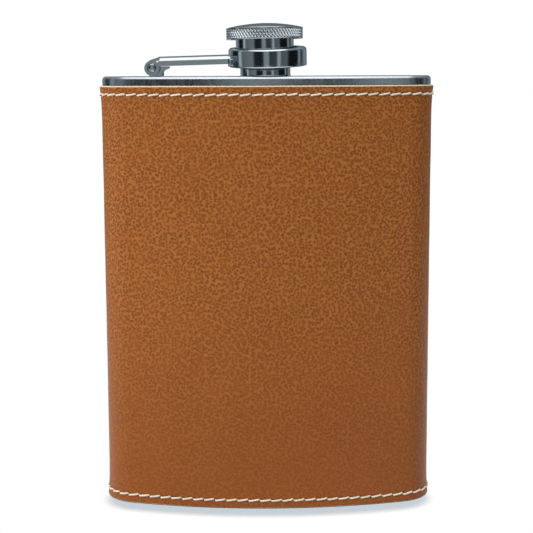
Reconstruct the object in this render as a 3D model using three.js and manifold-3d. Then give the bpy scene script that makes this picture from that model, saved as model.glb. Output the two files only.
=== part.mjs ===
// A curved stainless-steel hip flask in a stitched leather wrap, with a captive screw cap.
// The cap turns inside a loose collar at the end of a hinged arm, so it can't be lost.
//
// Frame: millimetres, +Z up, -Y is the convex front. The origin is under the middle of the flask,
// on the surface that it stands on.

import * as THREE from "three";
import { mergeVertices } from "three/addons/utils/BufferGeometryUtils.js";
import Module from "manifold-3d";

const wasm = await Module();
wasm.setup();

const DEGREE = Math.PI / 180;

// ---- Driving dimensions ----------------------------------------------------------------------

// The body's section is a slot bent round an arc: two concentric walls with full round ends.
const bodyHalfWidth = 47.3;
const endRadius = 10.1; // half of the thickness between the front wall and the back wall
const frontWallRadius = 135.45;
const bodyHeight = 127.6;
const sheet = 0.5; // steel of the body tube
const plateThickness = 1.0;
const skirtClearance = 0.1; // between the tube and the skirts of its two end caps
const topSkirtGrow = 0.57; // how far the top cap stands out round the tube
const topSkirtHeight = 2.6;
const topEdgeRound = 0.7;
const bottomSkirtGrow = 1.0;
const bottomSkirtHeight = 2.3;
const bottomEdgeRound = 0.9;

// Leather wrap, worked outwards from the steel
const liningOuter = 0.16;
const wrapInner = 0.18;
const wrapOuter = 0.8;
const wrapBottom = bottomSkirtHeight + 0.1;
const wrapTop = bodyHeight - topSkirtHeight - 0.1;
const seamGap = 0.3; // between the two edges that meet down the middle of the back
const bottomStitchHeight = wrapBottom + 2.3;
const topStitchHeight = wrapTop - 2.5;
const threadInner = 0.5;
const threadOuter = 0.86;
const threadHeight = 0.6;
const seamStitchWidth = 4.0;
const seamStitchFrom = bottomStitchHeight + 2.2;
const seamStitchTo = topStitchHeight - 2.2;
const grooveDepthUnderThread = 0.05;
const grooveMargin = 0.12;

// Neck, measured up from the top plate. It is welded on a little left of the middle and leans that way.
const neckX = -0.3;
const neckLean = 1.0 * DEGREE;
const neckFoot = 0.2;
const neckBore = 4.6;
const neckCollarRadius = 7.2;
const neckCollarHeight = 2.6;
const neckRoot = 5.65; // bottom of the thread
const neckTop = 8.1;
const spigotRadius = 5.9;
const spigotDepth = 1.7; // how far the neck reaches down through the plate
const threadPitch = 1.6;
const threadBead = 0.5; // radius of the round-crested thread
const neckCrest = 6.1;
const threadStart = 3.7;
const threadTurns = 2.2;

// Cap, measured up from the top plate
const barrelRadius = 8.3;
const barrelBottom = 2.9;
const barrelBore = 6.45;
const barrelCeiling = 9.65;
const barrelTop = 12.5;
const clipGrooveBottom = 3.3;
const clipGrooveTop = 3.95;
const clipGrooveRadius = 7.65;
const headRadius = 11.0;
const headBottom = 10.4;
const headRimTop = 13.45;
const headTop = 14.95;
const headSocketRadius = 8.4;
const headSocketTop = 12.6;
const sealRadius = 6.3;
const sealBottom = 8.3;
const sealTop = 9.5;

// Retaining clip in the barrel's groove
const clipInner = 7.75;
const clipOuter = 9.65;
const clipThickness = 0.5;
const clipGapAngle = 40 * DEGREE;

// Hinge, arm and collar
const pinX = -32.7;
const pinHeight = 2.5;
const pinRadius = 1.05;
const eyeOuter = 2.15;
const eyeInner = 1.4;
const eyeEndAngle = 15 * DEGREE; // where the rolled end of the strap stops
const eyeTangentAngle = 105 * DEGREE;
const armHalfWidth = 3.2;
const armSheet = 0.8;
const armTop = 2.93; // above the pin's centre
const armBottom = 0.5;
const armEdgeRound = 1.4;
const armRise = 1.2 * DEGREE; // the arm climbs towards the collar
const strapRise = 0.4 * DEGREE; // and its strap climbs a little more
const armTwist = 4 * DEGREE; // the loose hinge and collar let the arm lean to the front
const knuckleHalfWidth = 0.95;
const knuckleRadius = 1.95;
const eyeSlotHalfWidth = 1.2;
const channelStart = 1.8;
const collarCentreX = 33.1; // from the pin, so the collar sits a little off the cap's axis
const collarCentreY = 0.2;
const collarOuter = 11.2;
const collarOpening = 9.95;
const collarLip = 9.35; // the inner lip that the clip can't pass
const collarRecess = 10.55;
const collarBottom = -0.39; // above the pin's centre
const collarTop = 4.96;
const lipBottom = 3.96;
const lipTop = 4.31;
const weldGap = 0.3;
const tabAngle = 19 * DEGREE; // round the collar, from the line to the hinge
const tabThickness = 0.6;
const tabWidth = 1.9;
const tabHeight = 2.5;
const tabMiddle = 1.15; // above the pin's centre

// ---- Small tools ------------------------------------------------------------------------------

const steel = new THREE.MeshStandardMaterial({ color: 0xb9bec3, roughness: 0.22, metalness: 1 });
const brushedSteel = new THREE.MeshStandardMaterial({ color: 0xc4c8cc, roughness: 0.38, metalness: 1 });
const leather = new THREE.MeshStandardMaterial({ color: 0x9a5a2b, roughness: 0.55, metalness: 0 });
const fabric = new THREE.MeshStandardMaterial({ color: 0xd9c7a6, roughness: 0.9, metalness: 0 });
const thread = new THREE.MeshStandardMaterial({ color: 0xece0c4, roughness: 0.7, metalness: 0 });
const silicone = new THREE.MeshStandardMaterial({ color: 0xe9e9e6, roughness: 0.6, metalness: 0 });

/** A closed geometry as a manifold-3d solid, for the booleans. */
function solid(geometry) {
  const bare = geometry.clone();
  bare.deleteAttribute("normal");
  bare.deleteAttribute("uv");
  const merged = mergeVertices(bare, 1e-4);
  return new wasm.Manifold(
    new wasm.Mesh({
      numProp: 3,
      vertProperties: new Float32Array(merged.attributes.position.array),
      triVerts: new Uint32Array(merged.index.array),
    }),
  );
}

/** A manifold-3d solid as a three.js geometry. */
function geometryOf(made) {
  const mesh = made.getMesh();
  const geometry = new THREE.BufferGeometry();
  geometry.setAttribute("position", new THREE.BufferAttribute(mesh.vertProperties, 3));
  geometry.setIndex(new THREE.BufferAttribute(mesh.triVerts, 1));
  geometry.computeVertexNormals();
  return geometry;
}

function namedMesh(name, geometry, material) {
  const mesh = new THREE.Mesh(geometry, material);
  mesh.name = name;
  return mesh;
}

function boxBetween(low, high) {
  const size = high.map((value, axis) => value - low[axis]);
  const centre = high.map((value, axis) => (value + low[axis]) / 2);
  return new THREE.BoxGeometry(...size).translate(...centre);
}

/** Turns a profile of [radius, height] pairs round Z. A profile off the axis closes on itself. */
function turned(profile, segments = 48) {
  const points = profile.map(([radius, height]) => new THREE.Vector2(radius, height));
  if (profile[0][0] > 0) {
    points.push(points[0].clone());
  }
  return new THREE.LatheGeometry(points, segments).rotateX(Math.PI / 2);
}

/** [radius, height] pairs along a quarter or other arc of a turned profile. */
function profileArc(centreRadius, centreHeight, radius, fromAngle, toAngle, steps) {
  return Array.from({ length: steps + 1 }, (_, i) => {
    const angle = fromAngle + ((toAngle - fromAngle) * i) / steps;
    return [centreRadius + radius * Math.cos(angle), centreHeight + radius * Math.sin(angle)];
  });
}

/** Extrudes a shape drawn in X and Z along Y, from fromY to toY. */
function extrudedAlongY(shape, fromY, toY, curveSegments = 10) {
  const options = { depth: toY - fromY, bevelEnabled: false, curveSegments };
  // The extrusion runs along +Z, so it is stood up with its depth towards -Y.
  return new THREE.ExtrudeGeometry(shape, options).rotateX(Math.PI / 2).translate(0, toY, 0);
}

class Helix extends THREE.Curve {
  constructor(radius, pitch, turns, startHeight) {
    super();
    Object.assign(this, { radius, pitch, turns, startHeight });
  }

  getPoint(t, target = new THREE.Vector3()) {
    const angle = 2 * Math.PI * this.turns * t;
    const height = this.startHeight + this.pitch * this.turns * t;
    return target.set(this.radius * Math.cos(angle), this.radius * Math.sin(angle), height);
  }
}

/** A round bead that winds round the Z axis: a screw thread with round crests. */
function threadBeadSolid(radius, bead) {
  const section = new THREE.Shape().absarc(0, 0, bead, 0, 2 * Math.PI, false);
  const path = new Helix(radius, threadPitch, threadTurns, threadStart);
  const steps = Math.round(22 * threadTurns);
  return solid(new THREE.ExtrudeGeometry(section, { steps, extrudePath: path, curveSegments: 3 }));
}

// ---- The bent-slot outline of the body --------------------------------------------------------

const midRadius = frontWallRadius - endRadius;
const endCentreX = bodyHalfWidth - endRadius;
const halfAngle = Math.asin(endCentreX / midRadius);
const frontReach = frontWallRadius;
const backReach = midRadius * Math.cos(halfAngle) - endRadius;
const arcCentreY = (frontReach + backReach) / 2; // centres the body's depth on y = 0
const endCentreY = arcCentreY - midRadius * Math.cos(halfAngle);
const neckY = arcCentreY - midRadius; // the middle of the body's thickness at x = 0

/** The body's outline, moved outwards by grow. */
function outline(grow, PathClass = THREE.Shape) {
  const down = -Math.PI / 2;
  const round = endRadius + grow;
  const path = new PathClass();
  path.absarc(0, arcCentreY, midRadius + round, down - halfAngle, down + halfAngle, false);
  path.absarc(endCentreX, endCentreY, round, down + halfAngle, halfAngle - down, false);
  path.absarc(0, arcCentreY, midRadius - round, down + halfAngle, down - halfAngle, true);
  path.absarc(-endCentreX, endCentreY, round, -down - halfAngle, -3 * down - halfAngle, false);
  return path;
}

/** A wall that follows the outline, from grow = inner to outer and from z = bottom to top. */
function hoop(inner, outer, bottom, top) {
  const shape = outline(outer);
  shape.holes.push(outline(inner, THREE.Path));
  const options = { depth: top - bottom, bevelEnabled: false, curveSegments: 9 };
  return new THREE.ExtrudeGeometry(shape, options).translate(0, 0, bottom);
}

/** A pressed cap over the tube's end: a plate with a rounded edge and a skirt round the tube. */
function endCap(grow, height, round) {
  // The slab is twice as tall as the cap, and its upper half is cut off again.
  const slab = new THREE.ExtrudeGeometry(outline(grow), {
    depth: 2 * (height - round),
    bevelThickness: round,
    bevelSize: round,
    bevelOffset: -round,
    bevelSegments: 3,
    curveSegments: 9,
  });
  slab.translate(0, 0, round);
  const reach = 2 * bodyHalfWidth;
  const inside = new THREE.ExtrudeGeometry(outline(skirtClearance), {
    depth: height,
    bevelEnabled: false,
    curveSegments: 9,
  });
  inside.translate(0, 0, plateThickness);
  return solid(slab)
    .intersect(solid(boxBetween([-reach, -reach, 0], [reach, reach, height])))
    .subtract(solid(inside));
}

// ---- Body -------------------------------------------------------------------------------------

function bodyShell() {
  return hoop(-sheet, 0, plateThickness, bodyHeight - plateThickness);
}

function topPlate() {
  const hole = new THREE.CylinderGeometry(spigotRadius + 0.15, spigotRadius + 0.15, 8, 48);
  hole.rotateX(Math.PI / 2).translate(neckX, neckY, bodyHeight);
  const cap = endCap(topSkirtGrow, topSkirtHeight, topEdgeRound).mirror([0, 0, 1]);
  return geometryOf(cap.translate([0, 0, bodyHeight]).subtract(solid(hole)));
}

function bottomPlate() {
  return geometryOf(endCap(bottomSkirtGrow, bottomSkirtHeight, bottomEdgeRound));
}

/** The mouth: a collar on the plate, a spigot through it and a threaded spout above. */
function neckSpout() {
  const wall = turned([
    [neckBore, -spigotDepth],
    [spigotRadius, -spigotDepth],
    [spigotRadius, neckFoot],
    [neckCollarRadius, neckFoot],
    [neckCollarRadius, neckCollarHeight],
    [neckRoot, neckCollarHeight],
    [neckRoot, neckTop - 0.4],
    [neckRoot - 0.4, neckTop],
    [neckBore, neckTop],
  ]);
  return geometryOf(solid(wall).add(threadBeadSolid(neckCrest - threadBead, threadBead)));
}

// ---- Leather wrap -----------------------------------------------------------------------------

/** The box in which the seam down the middle of the back lies. */
function backSeamBox(width, bottom, top) {
  return solid(boxBetween([-width / 2, neckY, bottom], [width / 2, neckY + 3 * endRadius, top]));
}

function stitchGroove(height) {
  const half = threadHeight / 2 + grooveMargin;
  const inner = threadInner - grooveDepthUnderThread;
  return solid(hoop(inner, wrapOuter + 1, height - half, height + half));
}

function leatherWrap() {
  const inner = threadInner - grooveDepthUnderThread;
  const seamWidth = seamStitchWidth + 2 * grooveMargin;
  const seamBottom = seamStitchFrom - grooveMargin;
  const seamTop = seamStitchTo + grooveMargin;
  const seamGroove = solid(hoop(inner, wrapOuter + 1, seamBottom, seamTop)).intersect(
    backSeamBox(seamWidth, seamBottom, seamTop),
  );
  return geometryOf(
    solid(hoop(wrapInner, wrapOuter, wrapBottom, wrapTop))
      .subtract(stitchGroove(bottomStitchHeight))
      .subtract(stitchGroove(topStitchHeight))
      .subtract(seamGroove)
      .subtract(backSeamBox(seamGap, wrapBottom - 1, wrapTop + 1)),
  );
}

function wrapLining() {
  const whole = solid(hoop(0.02, liningOuter, wrapBottom, wrapTop));
  return geometryOf(whole.subtract(backSeamBox(seamGap, wrapBottom - 1, wrapTop + 1)));
}

function stitching(height) {
  return hoop(threadInner, threadOuter, height - threadHeight / 2, height + threadHeight / 2);
}

function backSeamThread() {
  const strip = solid(hoop(threadInner, threadOuter, seamStitchFrom, seamStitchTo));
  return geometryOf(strip.intersect(backSeamBox(seamStitchWidth, seamStitchFrom, seamStitchTo)));
}

// ---- Hinge ------------------------------------------------------------------------------------

/** Drawn about the pin's centre: a knuckle between the arm's two eyes and a post with a stop nose. */
function hingeBracket() {
  const floor = -pinHeight;
  const knuckle = new THREE.Shape();
  knuckle.moveTo(-0.7, floor);
  knuckle.lineTo(3.05, floor);
  knuckle.lineTo(3.05, -0.6);
  knuckle.lineTo(knuckleRadius, 0);
  knuckle.absarc(0, 0, knuckleRadius, 0, Math.PI, false);
  knuckle.quadraticCurveTo(-knuckleRadius, -1.4, -0.7, floor);
  const bore = new THREE.Path().absarc(0, 0, pinRadius + 0.1, 0, 2 * Math.PI, true);
  knuckle.holes.push(bore);

  const postLeft = eyeOuter + 0.35;
  const noseTop = 0.1;
  const post = new THREE.Shape();
  post.moveTo(postLeft, floor);
  post.lineTo(3.05, floor);
  post.lineTo(3.05, -1.6);
  post.quadraticCurveTo(3.1, -0.85, 3.6, -0.65);
  post.quadraticCurveTo(4.6, -0.35, 4.95, noseTop);
  post.lineTo(postLeft, noseTop);
  post.closePath();

  const bracket = solid(extrudedAlongY(knuckle, -knuckleHalfWidth, knuckleHalfWidth)).add(
    solid(extrudedAlongY(post, -armHalfWidth + 0.1, armHalfWidth - 0.1)),
  );
  return geometryOf(bracket);
}

function hingePin() {
  const half = armHalfWidth + 0.1;
  const chamfer = 0.15;
  return turned([
    [0, -half],
    [pinRadius - chamfer, -half],
    [pinRadius, -half + chamfer],
    [pinRadius, half - chamfer],
    [pinRadius - chamfer, half],
    [0, half],
  ], 24).rotateX(Math.PI / 2);
}

// ---- Arm and collar, drawn about the pin's centre -----------------------------------------------

/** The strap's end, rolled round the pin. */
function eyeShape() {
  const shape = new THREE.Shape();
  shape.moveTo(channelStart + 0.6, armTop);
  shape.absarc(0, 0, eyeOuter, eyeTangentAngle, 2 * Math.PI + eyeEndAngle, false);
  shape.absarc(0, 0, eyeInner, 2 * Math.PI + eyeEndAngle, eyeTangentAngle, true);
  shape.lineTo(0.9, 1.85);
  shape.lineTo(channelStart + 0.6, armTop - armSheet);
  shape.closePath();
  return shape;
}

/** The strap's section in Y and Z: a channel, open below, with round shoulders. */
function channelShape() {
  const shape = new THREE.Shape();
  const inside = armHalfWidth - armSheet;
  const innerRound = armEdgeRound - armSheet;
  shape.moveTo(-armHalfWidth, armBottom);
  shape.lineTo(-inside, armBottom);
  shape.absarc(-inside + innerRound, armTop - armEdgeRound, innerRound, Math.PI, Math.PI / 2, true);
  shape.absarc(inside - innerRound, armTop - armEdgeRound, innerRound, Math.PI / 2, 0, true);
  shape.lineTo(inside, armBottom);
  shape.lineTo(armHalfWidth, armBottom);
  shape.absarc(armHalfWidth - armEdgeRound, armTop - armEdgeRound, armEdgeRound, 0, Math.PI / 2, false);
  shape.absarc(armEdgeRound - armHalfWidth, armTop - armEdgeRound, armEdgeRound, Math.PI / 2, Math.PI, false);
  shape.closePath();
  return shape;
}

/** A small tab at the end of a side flange, laid against the collar and welded to it. */
function weldTab(side) {
  const reach = collarOuter + weldGap + tabThickness / 2;
  return solid(
    new THREE.BoxGeometry(tabThickness, tabWidth, tabHeight)
      .rotateZ(-side * tabAngle)
      .translate(
        collarCentreX - reach * Math.cos(tabAngle),
        collarCentreY + side * reach * Math.sin(tabAngle),
        tabMiddle,
      ),
  );
}

function armStrap() {
  const channelEnd = collarCentreX - collarOuter + 1.2;
  const options = { depth: channelEnd - channelStart, bevelEnabled: false, curveSegments: 4 };
  const channel = new THREE.ExtrudeGeometry(channelShape(), options)
    .rotateX(Math.PI / 2)
    .rotateZ(Math.PI / 2)
    .translate(channelStart, 0, 0)
    .rotateY(-strapRise);
  const collarSpace = new THREE.CylinderGeometry(collarOuter + weldGap, collarOuter + weldGap, 30, 64)
    .rotateX(Math.PI / 2)
    .translate(collarCentreX, collarCentreY, 0);
  let strap = solid(channel);
  for (const side of [-1, 1]) {
    const edges = [side * eyeSlotHalfWidth, side * armHalfWidth].sort((a, b) => a - b);
    strap = strap.add(solid(extrudedAlongY(eyeShape(), ...edges))).add(weldTab(side));
  }
  return geometryOf(strap.subtract(solid(collarSpace)));
}

function collarRing() {
  const topRound = 0.8;
  const bottomRound = 0.35;
  const profile = [
    [collarRecess, collarBottom],
    ...profileArc(collarOuter - bottomRound, collarBottom + bottomRound, bottomRound, -Math.PI / 2, 0, 2),
    ...profileArc(collarOuter - topRound, collarTop - topRound, topRound, 0, Math.PI / 2, 4),
    [collarOpening, collarTop],
    [collarOpening, lipTop],
    [collarLip, lipTop],
    [collarLip, lipBottom],
    [collarRecess, lipBottom],
  ];
  return turned(profile, 64);
}

// ---- Cap, drawn about its axis, up from the top plate -------------------------------------------

/** A snap ring: an open ring in the barrel's groove. */
function retainingClip() {
  const shape = new THREE.Shape();
  const start = clipGapAngle / 2;
  const end = 2 * Math.PI - start;
  shape.absarc(0, 0, clipOuter, start, end, false);
  shape.absarc(0, 0, clipInner, end, start, true);
  const options = { depth: clipThickness, bevelEnabled: false, curveSegments: 20 };
  const middle = (clipGrooveBottom + clipGrooveTop) / 2;
  return new THREE.ExtrudeGeometry(shape, options).translate(0, 0, middle - clipThickness / 2);
}

function threadedSleeve() {
  const cup = turned([
    [0, barrelCeiling],
    [barrelBore, barrelCeiling],
    [barrelBore, barrelBottom],
    [barrelRadius - 0.2, barrelBottom],
    [barrelRadius, barrelBottom + 0.2],
    [barrelRadius, clipGrooveBottom],
    [clipGrooveRadius, clipGrooveBottom],
    [clipGrooveRadius, clipGrooveTop],
    [barrelRadius, clipGrooveTop],
    [barrelRadius, barrelTop],
    [0, barrelTop],
  ]);
  return geometryOf(solid(cup).subtract(threadBeadSolid(barrelBore - 0.1, threadBead)));
}

function sealDisc() {
  return new THREE.CylinderGeometry(sealRadius, sealRadius, sealTop - sealBottom, 40)
    .rotateX(Math.PI / 2)
    .translate(0, 0, (sealTop + sealBottom) / 2);
}

/** The crown that the fingers turn: a knurled rim under a low dome, with a socket for the sleeve. */
function capHead() {
  const rimChamfer = 0.25;
  const domeEdge = headRadius - rimChamfer;
  const domeBase = headRimTop + rimChamfer;
  const rise = headTop - domeBase;
  const domeRadius = (domeEdge * domeEdge + rise * rise) / (2 * rise);
  const domeAngle = Math.asin(domeEdge / domeRadius);
  const dome = profileArc(
    0,
    headTop - domeRadius,
    domeRadius,
    Math.PI / 2 - domeAngle,
    Math.PI / 2,
    7,
  );
  dome[dome.length - 1][0] = 0;
  return turned(
    [
      [0, headSocketTop],
      [headSocketRadius, headSocketTop],
      [headSocketRadius, headBottom],
      [headRadius - rimChamfer, headBottom],
      [headRadius, headBottom + rimChamfer],
      [headRadius, headRimTop],
      ...dome,
    ],
    64,
  );
}

// ---- Assembly ---------------------------------------------------------------------------------

const flask = new THREE.Group();
flask.add(
  namedMesh("body_shell", bodyShell(), brushedSteel),
  namedMesh("top_plate", topPlate(), brushedSteel),
  namedMesh("bottom_plate", bottomPlate(), brushedSteel),
  namedMesh("leather_wrap", leatherWrap(), leather),
  namedMesh("wrap_lining", wrapLining(), fabric),
  namedMesh("top_stitching", stitching(topStitchHeight), thread),
  namedMesh("bottom_stitching", stitching(bottomStitchHeight), thread),
  namedMesh("back_seam_thread", backSeamThread(), thread),
);

const mouth = new THREE.Group();
mouth.position.set(neckX, neckY, bodyHeight);
mouth.rotation.y = -neckLean;
mouth.add(
  namedMesh("neck_spout", neckSpout(), steel),
  namedMesh("retaining_clip", retainingClip(), steel),
  namedMesh("threaded_sleeve", threadedSleeve(), steel),
  namedMesh("seal_disc", sealDisc(), silicone),
  namedMesh("cap_head", capHead(), steel),
);

const hinge = new THREE.Group();
hinge.position.set(pinX, neckY, bodyHeight + pinHeight);
hinge.add(namedMesh("hinge_bracket", hingeBracket(), steel), namedMesh("hinge_pin", hingePin(), steel));

const arm = new THREE.Group();
arm.rotation.set(armTwist, -armRise, 0);
const collar = namedMesh("collar_ring", collarRing(), steel);
collar.position.set(collarCentreX, collarCentreY, 0);
arm.add(namedMesh("arm_strap", armStrap(), steel), collar);
hinge.add(arm);

flask.add(mouth, hinge);

export default flask;
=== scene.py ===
"""Looks for a curved steel hip flask in a stitched leather wrap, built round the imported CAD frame.

Pieces are drawn in millimetres in the frame's axes, +Z up and -Y out of the convex front, and new_piece turns
them into metres. The floor and the lamps are placed in metres.
"""

import math
import random

import bmesh
import bpy
from mathutils import Matrix, Vector, noise


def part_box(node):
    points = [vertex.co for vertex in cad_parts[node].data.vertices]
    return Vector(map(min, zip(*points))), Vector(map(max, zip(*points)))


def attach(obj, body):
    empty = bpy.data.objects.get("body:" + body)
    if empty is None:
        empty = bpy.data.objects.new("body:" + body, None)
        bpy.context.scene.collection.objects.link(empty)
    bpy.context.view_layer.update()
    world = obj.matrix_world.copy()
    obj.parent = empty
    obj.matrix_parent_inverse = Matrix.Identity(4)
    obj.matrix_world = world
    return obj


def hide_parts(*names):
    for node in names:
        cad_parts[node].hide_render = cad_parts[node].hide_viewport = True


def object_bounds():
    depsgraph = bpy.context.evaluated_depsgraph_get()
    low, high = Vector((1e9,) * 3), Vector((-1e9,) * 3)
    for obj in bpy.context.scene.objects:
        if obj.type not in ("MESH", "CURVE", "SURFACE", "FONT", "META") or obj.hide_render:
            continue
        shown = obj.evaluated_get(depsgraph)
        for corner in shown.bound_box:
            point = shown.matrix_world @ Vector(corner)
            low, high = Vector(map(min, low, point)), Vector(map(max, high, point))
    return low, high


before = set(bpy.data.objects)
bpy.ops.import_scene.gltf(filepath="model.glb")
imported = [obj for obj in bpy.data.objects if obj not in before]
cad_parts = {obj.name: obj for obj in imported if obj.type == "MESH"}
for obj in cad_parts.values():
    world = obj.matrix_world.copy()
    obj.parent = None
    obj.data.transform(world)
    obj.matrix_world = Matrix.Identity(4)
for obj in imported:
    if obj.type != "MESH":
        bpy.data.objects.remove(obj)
cad_low, cad_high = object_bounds()

MM = 0.001
TURN = 2 * math.pi
chance = random.Random(7)

# ---- Driving dimensions, in millimetres and radians ------------------------------------------------

shell_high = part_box("body_shell")[1]
plate_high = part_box("top_plate")[1]
wrap_low, wrap_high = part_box("leather_wrap")
stitch_low, stitch_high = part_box("top_stitching")
hem_low, hem_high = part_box("bottom_stitching")
neck_low, neck_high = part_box("neck_spout")

HALF_WIDTH = shell_high.x / MM
END_RADIUS = 10.1
FRONT_RADIUS = 135.45
PLATE_TOP = plate_high.z / MM
PLATE_THICKNESS = 1.0
NECK_Y = (neck_low.y + neck_high.y) / 2 / MM
TUBE_SHEET = 0.5
SKIRT_INNER = 0.1
TOP_GROW, TOP_SKIRT, TOP_ROUND = 0.57, 2.6, 1.05
BOTTOM_GROW, BOTTOM_SKIRT, BOTTOM_ROUND = 1.0, 2.3, 0.9

WRAP_INNER = 0.18
WRAP_OUTER = 0.8
WRAP_BOTTOM = wrap_low.z / MM
WRAP_TOP = wrap_high.z / MM
FLARE_TOP = 0.62
FLARE_TOP_LENGTH = 4.5
FLARE_BOTTOM = 0.50
FLARE_BOTTOM_LENGTH = 3.5
INNER_FLARE = 0.9  # share of the flare that the inside follows
SEAM_GAP = 0.3

STITCH_COUNT = 66
STITCH_PITCH = 3.303
STITCH_LENGTH = 2.75
STITCH_WIDTH = 0.56
STITCH_SLANT = math.radians(9)
STITCH_LIFT = 0.16  # of the thread's middle above the leather
STITCH_SINK = 0.55  # of its ends, below that
TOP_ROW_HEIGHT = (stitch_low.z + stitch_high.z) / 2 / MM
BOTTOM_ROW_HEIGHT = (hem_low.z + hem_high.z) / 2 / MM
# Along each row, from the middle of the front to the middle of a stitch
TOP_ROW_OFFSET = 0.69
BOTTOM_ROW_OFFSET = -0.79
LACING_HALF_WIDTH = 1.55
LACING_PITCH = 3.3
LACING_WIDTH = 0.5
CROSSING_LIFT = 0.40  # of the thread that lies over the other
BAR_LIFT = 0.12  # of the bar at each end of the seam

# How the thread and the seam shape the leather
HOLE_REACH = 1.2
HOLE_WIDTH, HOLE_HEIGHT, HOLE_DEPTH = 0.36, 0.30, 0.30
HOLE_HALF_GAP = 0.18
# how strongly painted shade fills each needle hole
HOLE_SHADE = 1.2
SEAM_REACH = 3
ROW_SINK, ROW_SINK_WIDTH = 0.10, 0.5
SEAM_SINK, SEAM_SINK_MIDDLE, SEAM_SINK_WIDTH = 0.12, 0.8, 1.2
SEAM_ROLL, SEAM_ROLL_WIDTH = 0.25, 0.3
WAVE, WAVES_PER_MM = 0.07, 0.08

NECK_X = -0.3
NECK_LEAN = math.radians(1.0)
# The neck's own axes, from the middle of its foot on the top plate
MOUTH = Matrix.Translation(Vector((NECK_X, NECK_Y, PLATE_TOP)) * MM) @ Matrix.Rotation(-NECK_LEAN, 4, "Y")
KNURLS = 68

SHARP = math.radians(38)  # edges over this angle shade as edges
ROUNDED = math.radians(35)  # edges of a slab over this angle are rounded
OUTLINE_POINTS = 360


# ---- Mesh helpers ----------------------------------------------------------------------------------

def new_object(name, data):
    made = bpy.data.objects.new(name, data)
    bpy.context.scene.collection.objects.link(made)
    return made


def new_piece(name, mesh_source, body, replaced=(), place=None):
    """An object from a bmesh drawn in millimetres, put in place, riding on its body."""
    bmesh.ops.recalc_face_normals(mesh_source, faces=mesh_source.faces)
    for face in mesh_source.faces:
        face.smooth = True
    for edge in mesh_source.edges:
        if len(edge.link_faces) == 2 and edge.calc_face_angle(0) > SHARP:
            edge.smooth = False
    mesh_source.transform(Matrix.Scale(MM, 4))
    if place is not None:
        mesh_source.transform(place)
    mesh = bpy.data.meshes.new(name)
    mesh_source.to_mesh(mesh)
    mesh_source.free()
    piece = new_object(name, mesh)
    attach(piece, body)
    if replaced:
        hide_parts(*replaced)
    return piece


def fillet(corners, steps=4):
    """A polyline whose corners (a, b, radius) are rounded by arcs. The first and last stay sharp."""
    points = []
    for i, (a, b, *rest) in enumerate(corners):
        radius = rest[0] if rest else 0
        corner = Vector((a, b))
        if not radius or i in (0, len(corners) - 1):
            points.append(corner)
            continue
        before = (Vector(corners[i - 1][:2]) - corner).normalized()
        after = (Vector(corners[i + 1][:2]) - corner).normalized()
        half = before.angle(after) / 2
        centre = corner + (before + after).normalized() * radius / math.sin(half)
        first = corner + before * radius / math.tan(half) - centre
        last = corner + after * radius / math.tan(half) - centre
        swing = first.angle_signed(last)
        for step in range(steps + 1):
            points.append(centre + Matrix.Rotation(-swing * step / steps, 2) @ first)
    return [(p.x, p.y) for p in points]


def add_grid(bm, rows, close_columns, close_rows=False):
    """Quads between rows of vertices. Every row has the same count."""
    last_row = len(rows) if close_rows else len(rows) - 1
    columns = len(rows[0])
    last_column = columns if close_columns else columns - 1
    for i in range(last_row):
        low, high = rows[i], rows[(i + 1) % len(rows)]
        for j in range(last_column):
            k = (j + 1) % columns
            bm.faces.new((low[j], low[k], high[k], high[j]))


def turned(bm, profile, segments, radius_at=None):
    """Turns a (radius, height) profile round Z. Where the profile touches the axis a fan closes it."""
    rows, poles = [], {}
    for i, (radius, height) in enumerate(profile):
        if radius == 0:
            poles[i] = bm.verts.new((0, 0, height))
            continue
        row = []
        for j in range(segments):
            angle = TURN * j / segments
            r = radius_at(angle, radius, height) if radius_at else radius
            row.append(bm.verts.new((r * math.cos(angle), r * math.sin(angle), height)))
        rows.append(row)
    add_grid(bm, rows, close_columns=True, close_rows=not poles)
    for i, pole in poles.items():
        ring = rows[0] if i == 0 else rows[-1]
        for j in range(segments):
            bm.faces.new((ring[j], ring[(j + 1) % segments], pole))


def fill_between(bm, loops):
    """Triangles over the flat area between closed rings of vertices. Gives the new faces."""
    edges = []
    for ring in loops:
        for a, b in zip(ring, ring[1:] + ring[:1]):
            edges.append(bm.edges.get((a, b)) or bm.edges.new((a, b)))
    filled = bmesh.ops.triangle_fill(bm, edges=edges, use_beauty=True)
    return [item for item in filled["geom"] if isinstance(item, bmesh.types.BMFace)]


def slab(outline, y_from, y_to, bevel, hole=None, segments=3):
    """A plate of its own, cut to an outline in X and Z, running along Y, with its edges rounded."""
    bm = bmesh.new()
    near = [bm.verts.new((x, y_from, z)) for x, z in outline]
    if hole:
        rim = [bm.verts.new((x, y_from, z)) for x, z in hole]
        made = fill_between(bm, (near, rim))
    else:
        made = [bm.faces.new(near)]
    pushed = bmesh.ops.extrude_face_region(bm, geom=made)
    far = [item for item in pushed["geom"] if isinstance(item, bmesh.types.BMVert)]
    bmesh.ops.translate(bm, verts=far, vec=(0, y_to - y_from, 0))
    bmesh.ops.recalc_face_normals(bm, faces=bm.faces)
    sharp = [e for e in bm.edges if len(e.link_faces) == 2 and e.calc_face_angle(0) > ROUNDED]
    bmesh.ops.bevel(bm, geom=sharp, offset=bevel, segments=segments, affect="EDGES", clamp_overlap=True)
    return bm


def add_part(bm, part, place=None):
    """Adds one finished part to a piece, moved by place first."""
    if place is not None:
        part.transform(place)
    mesh = bpy.data.meshes.new("part")
    part.to_mesh(mesh)
    part.free()
    bm.from_mesh(mesh)
    bpy.data.meshes.remove(mesh)


def arc(radius, start, end, steps):
    """Points about the origin from one angle to another, in degrees."""
    angles = [math.radians(start + (end - start) * i / steps) for i in range(steps + 1)]
    return [(radius * math.cos(angle), radius * math.sin(angle)) for angle in angles]


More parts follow.
